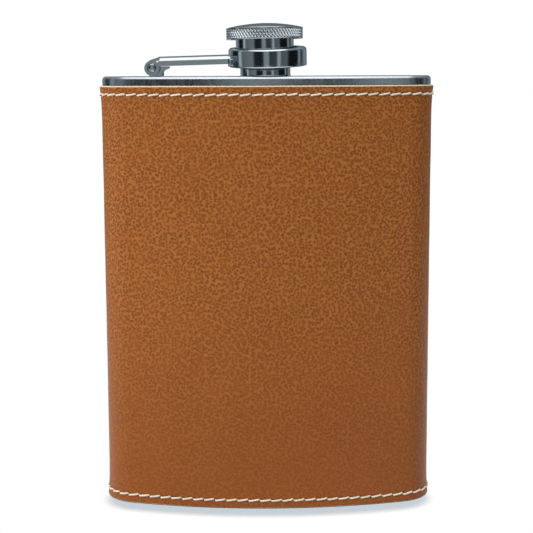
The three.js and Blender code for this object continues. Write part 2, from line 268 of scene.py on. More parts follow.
class Outline:
    """The body's bent-slot section moved outwards by grow, walked round from the middle of the back."""

    def __init__(self, grow=0.0):
        middle = FRONT_RADIUS - END_RADIUS
        end_x = HALF_WIDTH - END_RADIUS
        half = math.asin(end_x / middle)
        centre_y = NECK_Y + middle
        end_y = centre_y - middle * math.cos(half)
        down = -math.pi / 2
        front, back = FRONT_RADIUS + grow, FRONT_RADIUS - 2 * END_RADIUS - grow
        tip = END_RADIUS + grow
        # Each stretch: centre, radius, first angle, sweep, and whether the outside faces the centre
        self.stretches = [
            (0, centre_y, back, down, -half, -1),
            (-end_x, end_y, tip, -down - half, math.pi, 1),
            (0, centre_y, front, down - half, 2 * half, 1),
            (end_x, end_y, tip, down + half, math.pi, 1),
            (0, centre_y, back, down + half, -half, -1),
        ]
        self.length = sum(radius * abs(sweep) for _, _, radius, _, sweep, _ in self.stretches)

    def at(self, distance):
        """The point that far along, in X and Y, and the outward normal there."""
        distance %= self.length
        for x, y, radius, first, sweep, side in self.stretches:
            reach = radius * abs(sweep)
            if distance <= reach:
                angle = first + sweep * distance / reach
                normal = Vector((math.cos(angle), math.sin(angle)))
                return Vector((x, y)) + normal * radius, normal * side
            distance -= reach
        return self.at(0)


# ---- Materials -------------------------------------------------------------------------------------

class Nodes:
    """Short calls for wiring a node tree."""

    def __init__(self, tree):
        self.tree = tree

    @classmethod
    def of_material(cls, name):
        material = bpy.data.materials.new(name)
        material.use_nodes = True
        made = cls(material.node_tree)
        made.material = material
        made.shader = made.tree.nodes["Principled BSDF"]
        return made

    def add(self, kind, inputs=None, **settings):
        node = self.tree.nodes.new(kind)
        for key, value in settings.items():
            setattr(node, key, value)
        for key, value in (inputs or {}).items():
            self.feed(node.inputs[key], value)
        return node

    def feed(self, socket, value):
        if isinstance(value, bpy.types.NodeSocket):
            self.tree.links.new(value, socket)
        else:
            socket.default_value = value

    def set(self, **values):
        """Links or sets sockets of the shader, with underscores for the spaces in their names."""
        for key, value in values.items():
            self.feed(self.shader.inputs[key.replace("_", " ")], value)

    def place(self, scale=(1, 1, 1)):
        """Object coordinates in millimetres, stretched by scale."""
        coordinates = self.add("ShaderNodeTexCoord").outputs["Object"]
        scaled = [1 / MM * s for s in scale]
        return self.add("ShaderNodeMapping", {"Vector": coordinates, "Scale": scaled}).outputs[0]

    def attribute(self, name):
        return self.add("ShaderNodeAttribute", attribute_name=name).outputs["Fac"]

    def noise(self, vector, scale, detail=2.0, roughness=0.5, distortion=0.0, output="Fac"):
        inputs = {
            "Vector": vector,
            "Scale": scale,
            "Detail": detail,
            "Roughness": roughness,
            "Distortion": distortion,
        }
        return self.add("ShaderNodeTexNoise", inputs).outputs[output]

    def cells(self, vector, scale):
        """Distance from the nearest of points scattered in a plane, smooth where two cells meet."""
        inputs = {"Vector": vector, "Scale": scale, "Smoothness": 0.2}
        settings = {"feature": "SMOOTH_F1", "voronoi_dimensions": "2D"}
        return self.add("ShaderNodeTexVoronoi", inputs, **settings).outputs["Distance"]

    def ramp(self, value, *stops, ease=False):
        """Each stop is a position and a colour, or a position and a grey."""
        node = self.add("ShaderNodeValToRGB", {"Fac": value})
        if ease:
            node.color_ramp.interpolation = "EASE"
        elements = node.color_ramp.elements
        while len(elements) < len(stops):
            elements.new(0.5)
        for element, (position, colour) in zip(elements, stops):
            element.position = position
            shade = colour if isinstance(colour, tuple) else (colour,) * 3
            element.color = (*shade, 1)
        return node.outputs["Color"]

    def math(self, operation, a, b=0.0, c=0.0, clamp=False):
        node = self.add("ShaderNodeMath", operation=operation, use_clamp=clamp)
        for socket, value in zip(node.inputs, (a, b, c)):
            self.feed(socket, value)
        return node.outputs[0]

    def times(self, a, b):
        return self.math("MULTIPLY", a, b)

    def mix(self, factor, a, b, blend="MIX"):
        node = self.add("ShaderNodeMix", data_type="RGBA", blend_type=blend)
        self.feed(node.inputs[0], factor)
        self.feed(node.inputs[6], a if isinstance(a, bpy.types.NodeSocket) else (*a, 1))
        self.feed(node.inputs[7], b if isinstance(b, bpy.types.NodeSocket) else (*b, 1))
        return node.outputs[2]

    def bump(self, height, distance_mm, strength):
        inputs = {"Height": height, "Distance": distance_mm * MM, "Strength": strength}
        return self.add("ShaderNodeBump", inputs).outputs["Normal"]


LEATHER_TAN = (0.275, 0.080, 0.0105)
LEATHER_TAN_LIGHT = (0.300, 0.089, 0.0120)
# painted highlight for the grain's ridges and painted shade for its pits
LEATHER_RIDGE_HIGHLIGHT = (0.410, 0.150, 0.034)
LEATHER_PIT_SHADE = (0.095, 0.026, 0.0055)
# painted shade for the needle holes
LEATHER_HOLE_SHADE = (0.022, 0.010, 0.006)
LEATHER_FOOT_SHADE = (0.84, 0.77, 0.80)  # painted shade: darkens the leather towards its foot
GRAIN_PER_MM, FINE_GRAIN_PER_MM = 1.16, 2.1
LEATHER_HEIGHT = 128


def leather_material():
    """Saddle-tan leather: small pits between paler ridges, smoother low down, with painted shade in the pits,
    in the needle holes and towards the foot, and a painted highlight on the ridges.
    """
    n = Nodes.of_material("tan_leather")
    where = n.place()
    height = n.add("ShaderNodeSeparateXYZ", {0: where}).outputs["Z"]
    level = n.times(height, 1 / LEATHER_HEIGHT)
    # The grain lies in the leather's own flat sheet, with a wandering shift
    flat = n.add("ShaderNodeCombineXYZ", {"X": n.attribute("along"), "Y": height}).outputs[0]
    wander = n.noise(where, 0.7, output="Color")
    warped = n.add("ShaderNodeVectorMath", {0: flat, 1: wander}, operation="ADD").outputs[0]
    coarse, fine = n.cells(warped, GRAIN_PER_MM), n.cells(warped, FINE_GRAIN_PER_MM)
    uneven = n.noise(where, 0.30, detail=3, roughness=0.6)
    share = n.times(n.ramp(level, (0.08, 0.40), (0.55, 1.0)), n.ramp(uneven, (0.34, 0.50), (0.60, 1.0)))
    coarse_pits = n.times(n.ramp(coarse, (0.08, 1.0), (0.42, 0.0)), 0.75)
    fine_pits = n.times(n.ramp(fine, (0.1, 1.0), (0.5, 0.0)), 0.3)
    depth = n.math("MULTIPLY", n.math("ADD", coarse_pits, fine_pits), share, clamp=True)
    ridges = n.times(n.ramp(coarse, (0.36, 0.0), (0.62, 1.0)), share)
    mottle = n.noise(where, 0.05, detail=3, roughness=0.6)
    colour = n.mix(n.ramp(mottle, (0.36, 0.0), (0.64, 1.0)), LEATHER_TAN, LEATHER_TAN_LIGHT)
    # painted highlight on the grain's ridges, then painted shade in its pits, over the bump that shapes them
    colour = n.mix(n.times(ridges, 0.75), colour, LEATHER_RIDGE_HIGHLIGHT)
    colour = n.mix(n.times(depth, 0.92), colour, LEATHER_PIT_SHADE)
    # painted shade: the leather grows darker towards its foot
    colour = n.mix(1.0, colour, n.ramp(level, (0.0, LEATHER_FOOT_SHADE), (0.55, 1.0)), "MULTIPLY")
    # painted shade in the needle holes, from the attribute named pressed
    colour = n.mix(n.attribute("pressed"), colour, LEATHER_HOLE_SHADE)
    wear = n.math("ADD", n.times(depth, 0.5), n.times(n.noise(where, 0.35, detail=1), 0.3))
    n.set(Base_Color=colour, Roughness=n.ramp(wear, (0.0, 0.44), (0.8, 0.62)), Specular_IOR_Level=0.30)
    n.set(Sheen_Weight=0.06, Sheen_Roughness=0.35, Sheen_Tint=(1.0, 0.86, 0.74, 1))
    n.set(Normal=n.bump(n.math("SUBTRACT", 1.0, depth), 0.10, 0.8))
    return n.material


def cut_edge_material():
    """The pale fibrous edge where the leather was cut."""
    n = Nodes.of_material("cut_leather_edge")
    fibres = n.noise(n.place((1, 1, 4)), 2.2, detail=4, roughness=0.7)
    colour = n.mix(n.ramp(fibres, (0.3, 0.0), (0.7, 1.0)), (0.56, 0.42, 0.24), (0.80, 0.70, 0.54))
    n.set(Base_Color=colour, Roughness=0.85, Normal=n.bump(fibres, 0.05, 0.6))
    return n.material


def lining_material():
    """Cream woven backing with a fine weave."""
    n = Nodes.of_material("cream_lining")
    inputs = {"Vector": n.place(), "Scale": 0.7, "Distortion": 0.4}
    weave = n.add("ShaderNodeTexWave", inputs, bands_direction="Z").outputs["Fac"]
    colour = n.mix(weave, (0.56, 0.47, 0.30), (0.70, 0.62, 0.44))
    n.set(Base_Color=colour, Roughness=0.9, Normal=n.bump(weave, 0.04, 0.5))
    return n.material


def thread_material():
    """Waxed cream thread, twisted from fine fibres."""
    n = Nodes.of_material("cream_thread")
    where = n.place()
    fibres = n.noise(where, 5.0)
    soil = n.ramp(n.noise(where, 0.25), (0.35, 0.0), (0.65, 1.0))
    cream = n.mix(soil, (0.84, 0.77, 0.64), (0.76, 0.68, 0.53))
    colour = n.mix(n.ramp(fibres, (0.35, 0.0), (0.6, 1.0)), (0.62, 0.50, 0.34), cream)
    n.set(Base_Color=colour, Roughness=0.62, Sheen_Weight=0.25, Normal=n.bump(fibres, 0.05, 0.5))
    return n.material


def steel_material(name, tint, polish, grain, grain_depth, marks):
    """Stainless steel. grain stretches the brush lines, polish is the (low, high) roughness."""
    n = Nodes.of_material(name)
    brush = n.noise(n.place(grain), 1.0, detail=3, roughness=0.6)
    smudge = n.noise(n.place(), 0.16, detail=3, roughness=0.6)
    scratch = n.noise(n.place((0.5, 0.5, 5.0)), 1.3, detail=1, distortion=0.8)
    scratches = n.times(n.ramp(scratch, (0.60, 0.0), (0.66, 1.0)), -0.18 * marks)
    shade = n.math("ADD", n.math("MULTIPLY_ADD", brush, 0.22, 0.80), scratches)
    blur = n.math("ADD", n.times(brush, 0.55), n.times(smudge, 0.45))
    n.set(Base_Color=n.mix(shade, tuple(c * 0.72 for c in tint), tint), Metallic=1.0)
    n.set(Roughness=n.ramp(blur, (0.28, polish[0]), (0.72, polish[1])))
    n.set(Normal=n.bump(brush, grain_depth, 0.5))
    return n.material


def silicone_material():
    n = Nodes.of_material("white_silicone")
    haze = n.noise(n.place(), 0.8)
    n.set(Base_Color=n.mix(haze, (0.80, 0.79, 0.75), (0.88, 0.88, 0.85)), Roughness=0.5)
    return n.material


LEATHER = leather_material()
CUT_EDGE = cut_edge_material()
LINING = lining_material()
THREAD = thread_material()
SILICONE = silicone_material()
STEEL_TINT = (0.60, 0.64, 0.66)
PRESSED_TINT = (0.63, 0.66, 0.68)
BRUSHED = steel_material("brushed_steel", STEEL_TINT, (0.20, 0.36), (0.12, 0.12, 4.0), 0.012, 0.8)
PLATE_STEEL = steel_material("plate_steel", STEEL_TINT, (0.18, 0.36), (1.6, 1.6, 0.5), 0.012, 0.9)
POLISHED = steel_material("polished_steel", STEEL_TINT, (0.06, 0.16), (0.6, 0.6, 3.0), 0.006, 0.7)
PRESSED = steel_material("pressed_steel", PRESSED_TINT, (0.12, 0.24), (0.3, 1.6, 1.6), 0.010, 0.7)
KNURLED = steel_material("knurled_steel", STEEL_TINT, (0.14, 0.28), (1.2, 1.2, 1.2), 0.010, 0.3)


def dress(piece, *materials):
    for material in materials:
        piece.data.materials.append(material)


# ---- Leather wrap and its stitches -----------------------------------------------------------------

def flare(height):
    """How far the free edges of the wrap stand off the body."""
    top = FLARE_TOP * math.exp((height - WRAP_TOP) / FLARE_TOP_LENGTH)
    bottom = FLARE_BOTTOM * math.exp((WRAP_BOTTOM - height) / FLARE_BOTTOM_LENGTH)
    return top + bottom


def wrap_profile():
    """(grow, height, kind) round the wrap's section: up the outside and down the inside."""
    edge, steps = 0.3, 3
    low, high = BOTTOM_ROW_HEIGHT + 1.0, TOP_ROW_HEIGHT - 1.0
    heights = [row + 0.2 * i for row in (BOTTOM_ROW_HEIGHT, TOP_ROW_HEIGHT) for i in range(-5, 6)]
    heights += [low + 0.8, low + 2.0, high - 0.8, high - 2.0]
    heights += [low + 4 + (high - low - 8) * i / 34 for i in range(35)]
    heights += [WRAP_BOTTOM + edge + rise for rise in (0.25, 0.6)]
    heights += [WRAP_TOP - edge - drop for drop in (0.25, 0.6, 0.95)]
    quarter = [math.pi / 2 * i / steps for i in range(steps + 1)]
    face = WRAP_OUTER - edge
    profile = []
    for i, angle in enumerate(quarter):
        kind = "cut" if i < steps - 1 else "out"
        height = WRAP_BOTTOM + edge - edge * math.cos(angle)
        profile.append((face + edge * math.sin(angle), height, kind))
    profile += [(WRAP_OUTER, height, "out") for height in sorted(heights)]
    for i, angle in enumerate(quarter):
        kind = "cut" if i > 0 else "out"
        height = WRAP_TOP - edge + edge * math.sin(angle)
        profile.append((face + edge * math.cos(angle), height, kind))
    profile += [(WRAP_INNER, WRAP_TOP, "cut"), (WRAP_INNER, WRAP_TOP - 2, "in")]
    profile += [(WRAP_INNER, WRAP_BOTTOM + 2, "in"), (WRAP_INNER, WRAP_BOTTOM, "in")]
    return profile


def row_centres(outline, offset):
    """How far along the outline the middle of each stitch of a row lies."""
    first = outline.length / 2 + offset - STITCH_COUNT // 2 * STITCH_PITCH
    return [first + k * STITCH_PITCH for k in range(STITCH_COUNT)]


def row_holes(outline, height, offset):
    """Where the needle went through along a row: two holes a stitch, a little apart."""
    middles = [centre + STITCH_PITCH / 2 for centre in row_centres(outline, offset)]
    return [(middle + side * HOLE_HALF_GAP, height) for middle in middles for side in (-1, 1)]


def lacing_holes(outline):
    """The holes of the back seam, in pairs on either side of it."""
    count = round((TOP_ROW_HEIGHT - BOTTOM_ROW_HEIGHT - 5) / LACING_PITCH)
    first = (TOP_ROW_HEIGHT + BOTTOM_ROW_HEIGHT - count * LACING_PITCH) / 2
    heights = [first + k * LACING_PITCH for k in range(count + 1)]
    return [(side * LACING_HALF_WIDTH % outline.length, height) for height in heights for side in (-1, 1)]


def press_at(distance, height, holes, length):
    """How much the nearest needle hole presses a point in, from 0 to 1."""
    deepest = 0.0
    for along, up in holes:
        gap = abs(distance - along)
        gap = min(gap, length - gap)
        if gap < HOLE_REACH and abs(height - up) < HOLE_REACH:
            squared = (gap / HOLE_WIDTH) ** 2 + ((height - up) / HOLE_HEIGHT) ** 2
            deepest = max(deepest, math.exp(-squared))
    return deepest


def leather_wrap():
    outline = Outline(WRAP_OUTER)
    profile = wrap_profile()
    start, end = SEAM_GAP / 2, outline.length - SEAM_GAP / 2
    count = 12 * STITCH_COUNT
    distances = [start + (end - start) * j / count for j in range(count + 1)]
    near_seam = [start + offset for offset in (0.05, 0.12, 0.2)]
    distances = sorted(distances + near_seam + [outline.length - d for d in near_seam])
    stitched = [
        (TOP_ROW_HEIGHT, row_holes(outline, TOP_ROW_HEIGHT, TOP_ROW_OFFSET)),
        (BOTTOM_ROW_HEIGHT, row_holes(outline, BOTTOM_ROW_HEIGHT, BOTTOM_ROW_OFFSET)),
    ]
    laced = lacing_holes(outline)
    bm = bmesh.new()
    hole_shade_layer = bm.verts.layers.float.new("pressed")
    along_layer = bm.verts.layers.float.new("along")
    rows = []
    for grow, height, kind in profile:
        row = []
        near_row = [entry for entry in stitched if abs(height - entry[0]) < HOLE_REACH]
        for distance in distances:
            point, normal = outline.at(distance)
            out = grow - WRAP_OUTER + flare(height) * (1.0 if kind != "in" else INNER_FLARE)
            press = 0.0
            if kind == "out":
                from_seam = min(distance, outline.length - distance)
                out += WAVE * noise.noise(Vector((point.x, point.y, height)) * WAVES_PER_MM)
                out -= SEAM_ROLL * max(0.0, 1 - (from_seam - start) / SEAM_ROLL_WIDTH) ** 2
                if near_row:
                    row_height, holes = near_row[0]
                    out -= ROW_SINK * math.exp(-(((height - row_height) / ROW_SINK_WIDTH) ** 2))
                    press = press_at(distance, height, holes, outline.length)
                elif from_seam < SEAM_REACH:
                    press = press_at(distance, height, laced, outline.length)
                    out -= SEAM_SINK * math.exp(-(((from_seam - SEAM_SINK_MIDDLE) / SEAM_SINK_WIDTH) ** 2))
                out -= HOLE_DEPTH * press
            x, y = point + normal * out
            vertex = bm.verts.new((x, y, height))
            # the attribute named pressed carries painted shade for the needle holes
            vertex[hole_shade_layer] = min(1.0, press * HOLE_SHADE)
            vertex[along_layer] = distance
            row.append(vertex)
        rows.append(row)
    add_grid(bm, rows, close_columns=False, close_rows=True)
    kinds = [kind for _, _, kind in profile]
    for i, face in enumerate(bm.faces):
        row = i // (len(distances) - 1)
        pair = {kinds[row], kinds[(row + 1) % len(kinds)]}
        face.material_index = 0 if pair == {"out"} else 1
    for side in (0, -1):
        cap = bm.faces.new([row[side] for row in rows])
        cap.material_index = 1
    piece = new_piece("leather_wrap_grained", bm, "flask", ["leather_wrap"])
    dress(piece, LEATHER, CUT_EDGE)


def wrap_lining():
    outline = Outline()
    inner, outer, overhang = 0.02, 0.16, 0.05
    low, tall = WRAP_BOTTOM - overhang, WRAP_TOP - WRAP_BOTTOM + 2 * overhang
    heights = [low + tall * (0.5 - 0.5 * math.cos(math.pi * i / 30)) for i in range(31)]
    profile = [(outer + INNER_FLARE * flare(h), h) for h in heights]
    profile += [(inner + INNER_FLARE * flare(h), h) for h in reversed(heights)]
    start, end = SEAM_GAP / 2, outline.length - SEAM_GAP / 2
    bm = bmesh.new()
    rows = []
    for grow, height in profile:
        row = []
        for j in range(OUTLINE_POINTS + 1):
            point, normal = outline.at(start + (end - start) * j / OUTLINE_POINTS)
            x, y = point + normal * grow
            row.append(bm.verts.new((x, y, height)))
        rows.append(row)
    add_grid(bm, rows, close_columns=False, close_rows=True)
    for side in (0, -1):
        bm.faces.new([row[side] for row in rows])
    piece = new_piece("wrap_backing", bm, "flask", ["wrap_lining"])
    dress(piece, LINING)


def add_thread(bm, path, width=STITCH_WIDTH, around=10):
    """Two twisted plies along a path of points and outward normals, closed at both ends."""
    twist_per_mm, waist, spread, flattened = TURN * 0.75, 0.86, 1.06, 0.92
    rings = []
    count = len(path)
    for i, (point, normal) in enumerate(path):
        before, after = path[max(0, i - 1)][0], path[min(count - 1, i + 1)][0]
        along = (after - before).normalized()
        across = along.cross(normal).normalized()
        up = across.cross(along)
        ring = []
        for j in range(around):
            angle = TURN * j / around
            twist = angle - twist_per_mm * (point - path[0][0]).length
            radius = width / 2 * (waist + (1 - waist) * abs(math.cos(twist)))
            offset = across * math.cos(angle) * spread + up * math.sin(angle) * flattened
            ring.append(bm.verts.new(point + offset * radius))
        rings.append(ring)
    add_grid(bm, rings, close_columns=True)
    bm.faces.new(rings[0])
    bm.faces.new(rings[-1])


def stitch_path(outline, along, height, run, rise, lift=STITCH_LIFT, steps=11):
    """From one needle hole over the leather to the next: down at both ends and proud in the middle."""
    path = []
    for i in range(steps + 1):
        reach = 2 * (i / steps) - 1
        distance, up = along + run / 2 * reach, height + rise / 2 * reach
        point, normal = outline.at(distance)
        sink = STITCH_SINK * abs(reach) ** 7
        place = point + normal * (lift + flare(up) - sink)
        path.append((Vector((*place, up)), Vector((*normal, 0))))
    return path


def stitch_row(name, node, height, offset):
    outline = Outline(WRAP_OUTER)
    bm = bmesh.new()
    for centre in row_centres(outline, offset):
        along = centre + chance.uniform(-0.06, 0.06)
        run = STITCH_LENGTH * chance.uniform(0.95, 1.03)
        rise = run * math.tan(STITCH_SLANT + math.radians(chance.uniform(-1.5, 1.5)))
        path = stitch_path(outline, along, height + chance.uniform(-0.05, 0.05), run + 0.2, rise)
        add_thread(bm, path)
    dress(new_piece(name, bm, "flask", [node]), THREAD)


def back_lacing():
    """Crossed stitches that draw the wrap's two edges together down the back."""
    outline = Outline(WRAP_OUTER)
    holes = sorted({height for _, height in lacing_holes(outline)})
    bm = bmesh.new()
    for low, high in zip(holes, holes[1:]):
        for side, lift in ((1, STITCH_LIFT), (-1, CROSSING_LIFT)):
            rise = (high - low) * side
            path = stitch_path(outline, 0, (low + high) / 2, 2 * LACING_HALF_WIDTH, rise, lift)
            add_thread(bm, path, LACING_WIDTH)
    for height in (holes[0], holes[-1]):
        add_thread(bm, stitch_path(outline, 0, height, 2 * LACING_HALF_WIDTH, 0, BAR_LIFT), LACING_WIDTH)
    dress(new_piece("back_lacing", bm, "flask", ["back_seam_thread"]), THREAD)


# ---- Steel body ------------------------------------------------------------------------------------

def outline_row(bm, outline, grow, height):
    row = []
    for j in range(OUTLINE_POINTS):
        point, normal = outline.at(outline.length * j / OUTLINE_POINTS)
        x, y = point + normal * grow
        row.append(bm.verts.new((x, y, height)))
    return row


def end_cap(name, node, level, away, grow, skirt, round_radius, hole_radius=0):
    """A pressed end of the body: a flat face with a rolled edge and a skirt round the tube.

    Its face is at level and its skirt runs from there against away, which is 1 for up and -1 for down.
    """
    steps, rim_points, burr = 10, 72, 0.1
    depths = [(SKIRT_INNER, PLATE_THICKNESS), (SKIRT_INNER, skirt), (grow - burr, skirt)]
    depths += [(grow, skirt - burr), (grow, skirt - 0.3), (grow, round_radius + 0.3)]
    for i in range(steps + 1):
        angle = math.pi / 2 * i / steps
        depths.append((grow - round_radius * (1 - math.cos(angle)), round_radius * (1 - math.sin(angle))))
    depths.append((grow - round_radius - 0.2, 0))
    outline = Outline()
    bm = bmesh.new()
    rows = [outline_row(bm, outline, out, level - away * depth) for out, depth in depths]
    add_grid(bm, rows, close_columns=True)
    outer_loops, inner_loops = [rows[-1]], [rows[0]]
    if hole_radius:
        rims = []
        for height in (level, level - away * PLATE_THICKNESS):
            rim = []
            for j in range(rim_points):
                angle = TURN * j / rim_points
                x, y = NECK_X + hole_radius * math.cos(angle), NECK_Y + hole_radius * math.sin(angle)
                rim.append(bm.verts.new((x, y, height)))
            rims.append(rim)
        add_grid(bm, rims, close_columns=True)
        outer_loops.append(rims[0])
        inner_loops.append(rims[1])
    fill_between(bm, outer_loops)
    fill_between(bm, inner_loops)
    dress(new_piece(name, bm, "flask", [node]), PLATE_STEEL)


def body_shell():
    low, high = PLATE_THICKNESS, PLATE_TOP - PLATE_THICKNESS
    seam = 0.12
    profile = [(-seam, low), (0, low + seam), (0, high - seam), (-seam, high)]
    profile += [(-TUBE_SHEET, high), (-TUBE_SHEET, low)]
    outline = Outline()
    bm = bmesh.new()
    rows = [outline_row(bm, outline, grow, height) for grow, height in profile]
    add_grid(bm, rows, close_columns=True, close_rows=True)
    dress(new_piece("brushed_shell", bm, "flask", ["body_shell"]), BRUSHED)


# ---- Neck and cap, drawn about the neck's axis, up from the top plate ------------------------------

THREAD_PITCH = 1.6
THREAD_START = 3.7
THREAD_TURNS = 2.2
THREAD_FADE = 0.06  # of a turn, past each end


def thread_height(angle, height, depth, half_width):
    """How far a round-crested screw thread stands out at an angle and height, fading at both ends."""
    best = 0.0
    for lap in range(-1, 4):
        turns = angle / TURN + lap
        begun, left = turns + THREAD_FADE, THREAD_TURNS + THREAD_FADE - turns
        gap = (height - THREAD_START - THREAD_PITCH * turns) / half_width
        if begun >= 0 and left >= 0 and abs(gap) < 1:
            fade = min(1.0, begun / (2 * THREAD_FADE), left / (2 * THREAD_FADE))
            best = max(best, depth * math.cos(gap * math.pi / 2) ** 0.8 * fade)
    return best


def spaced(low, high, step):
    """Even heights from low to high, at most a step apart."""
    count = max(1, math.ceil((high - low) / step))
    return [low + (high - low) * i / count for i in range(count + 1)]


def neck_spout():
    root, crest, half_width, top = 5.65, 6.1, 0.62, 8.1
    outside = fillet([
        (4.6, -1.7), (5.9, -1.7), (5.9, -0.05), (7.35, -0.05),
        (7.2, 0.2, 0.1), (7.2, 2.6, 0.25), (root, 2.6, 0.15), (root, 3.0),
    ])
    outside += [(root, height) for height in spaced(3.1, 7.6, 0.1)]
    outside += fillet([(root, 7.65), (root, top, 0.4), (4.6, top, 0.3), (4.6, 6.0)])

    def ridge(angle, radius, height):
        if radius != root:
            return radius
        return radius + thread_height(angle, height, crest - root, half_width)

    bm = bmesh.new()
    turned(bm, outside, 144, ridge)
    dress(new_piece("polished_neck", bm, "flask", ["neck_spout"], MOUTH), POLISHED)


def threaded_sleeve():
    bore, outer, depth, half_width = 6.45, 8.3, 0.4, 0.6
    profile = [(0, 9.65), (bore - 0.2, 9.65), (bore, 9.45)]
    profile += [(bore, height) for height in reversed(spaced(3.25, 8.3, 0.1))]
    profile += fillet([(bore, 3.1), (bore, 2.9, 0.12), (outer, 2.9, 0.2), (outer, 3.3, 0.04), (7.65, 3.3)])
    profile += fillet([(7.65, 3.95), (outer, 3.95, 0.05), (outer, 12.5)])
    profile.append((0, 12.5))

    def groove(angle, radius, height):
        if radius != bore:
            return radius
        return radius + thread_height(angle, height, depth, half_width)

    bm = bmesh.new()
    turned(bm, profile, 144, groove)
    dress(new_piece("cap_sleeve", bm, "cap", ["threaded_sleeve"], MOUTH), POLISHED)


def seal_disc():
    radius, low, high, edge = 6.3, 8.3, 9.5, 0.2
    profile = fillet([(0.5, low), (radius, low, edge), (radius, high, edge), (0.5, high)])
    bm = bmesh.new()
    turned(bm, [(0, low)] + profile + [(0, high)], 96)
    dress(new_piece("soft_seal", bm, "cap", ["seal_disc"], MOUTH), SILICONE)


def retaining_clip():
    outer, inner, half_height, middle, gap = 9.65, 7.75, 0.25, 3.625, 20
    outline = arc(outer, gap, 360 - gap, 64) + arc(inner, 360 - gap, gap, 64)
    bm = slab(outline, -half_height, half_height, bevel=0.08, segments=2)
    bm.transform(Matrix.Rotation(math.pi / 2, 4, "X"))
    place = MOUTH @ Matrix.Translation((0, 0, middle * MM))
    dress(new_piece("spring_clip", bm, "retainer", ["retaining_clip"], place), PRESSED)


def knurl(angle, height):
    """The height of a diamond knurl from 0, in a groove, to 1, on a point."""
    lean, flank = 0.70, 1.15
    best = 1.0
    for side, share in ((1, 1.0), (-1, 0.5)):
        phase = KNURLS * angle / TURN + side * lean * height
        ridge = abs(2 * (phase % 1.0) - 1)
        best = min(best, 1 - share * (1 - min(1.0, ridge * flank)))
    return best


def cap_head():
    radius, low, rim_top, top, depth = 11.0, 10.4, 13.45, 14.95, 0.42
    skirt, recess, rise = 8.4, 12.6, 0.25
    plain, edge = radius - 0.02, radius - 0.3
    corners = [(skirt, 11.5), (skirt, low, 0.15), (plain, low, 0.22), (plain, low + 0.36)]
    profile = [(0, recess), (skirt, recess)] + fillet(corners, 3)
    profile += [(radius, height) for height in spaced(low + 0.42, rim_top - 0.30, 0.17)]
    profile += fillet([(plain, rim_top - 0.22), (plain, rim_top + 0.14, 0.2), (edge, rim_top + rise)], 3)
    # A shallow dome closes the top
    crown = top - rim_top - rise
    sphere = (edge * edge + crown * crown) / (2 * crown)
    steps = 12
    for i in range(1, steps + 1):
        r = edge * math.cos(math.pi / 2 * i / steps)
        profile.append((r if i < steps else 0, top - sphere + math.sqrt(sphere * sphere - r * r)))

    def knurled(angle, r, height):
        return r if r != radius else r - depth * (1 - knurl(angle, height))

    bm = bmesh.new()
    turned(bm, profile, KNURLS * 8, knurled)
    dress(new_piece("knurled_head", bm, "cap", ["cap_head"], MOUTH), KNURLED)


# ---- Hinge, arm and collar, drawn about the middle of the hinge pin --------------------------------

PIN_HEIGHT = 2.5
PIN_X = -32.7
ARM_TWIST = math.radians(4)
ARM_RISE = math.radians(1.2)
STRAP_RISE = math.radians(0.4)
ARM_HALF_WIDTH = 3.2
COLLAR = Vector((33.1, 0.2, 0))
COLLAR_RADIUS = 11.2
HINGE = Matrix.Translation(Vector((PIN_X, NECK_Y, PLATE_TOP + PIN_HEIGHT)) * MM)
ARM = HINGE @ Matrix.Rotation(ARM_TWIST, 4, "X") @ Matrix.Rotation(-ARM_RISE, 4, "Y")


def hinge_bracket():
    floor, half_width = -PIN_HEIGHT, 3.1
    knuckle = [(-0.8, floor), (3.05, floor), (3.05, -0.6)] + arc(1.95, 0, 180, 20)
    knuckle += [(-1.8, -1.1), (-1.35, -1.9)]
    bore = arc(1.15, 0, 345, 23)
    post = [(2.5, floor), (3.05, floor), (3.05, -1.6), (3.14, -1.15), (3.32, -0.85), (3.6, -0.68)]
    post += [(4.15, -0.5), (4.62, -0.25), (4.97, 0.3), (2.5, 0.3)]
    bm = bmesh.new()
    add_part(bm, slab(knuckle, -0.95, 0.95, bevel=0.12, hole=bore, segments=2))
    add_part(bm, slab(post, -half_width, half_width, bevel=0.16))
    dress(new_piece("hinge_lug", bm, "flask", ["hinge_bracket"], HINGE), PRESSED)


def hinge_pin():
    half = ARM_HALF_WIDTH + 0.1
    side = fillet([(1.05, 0), (1.05, half - 0.05, 0.3), (0.01, half)], 5)
    profile = [(0, -half)] + [(r, -z) for r, z in reversed(side[:-1])] + side[:-1] + [(0, half)]
    bm = bmesh.new()
    turned(bm, profile, 48)
    place = HINGE @ Matrix.Rotation(math.pi / 2, 4, "X")
    dress(new_piece("peened_pin", bm, "flask", ["hinge_pin"], place), POLISHED)


def channel_section():
    """The strap's section in Y and Z: a channel, open below, with round shoulders."""
    half, top, low, sheet, shoulder = ARM_HALF_WIDTH, 2.93, 0.5, 0.8, 1.4
    outside = fillet([(-half, low), (-half, top, shoulder), (half, top, shoulder), (half, low)], 8)
    inner, under, bend = half - sheet, top - sheet, shoulder - sheet
    inside = fillet([(inner, low), (inner, under, bend), (-inner, under, bend), (-inner, low)], 6)
    return outside + inside


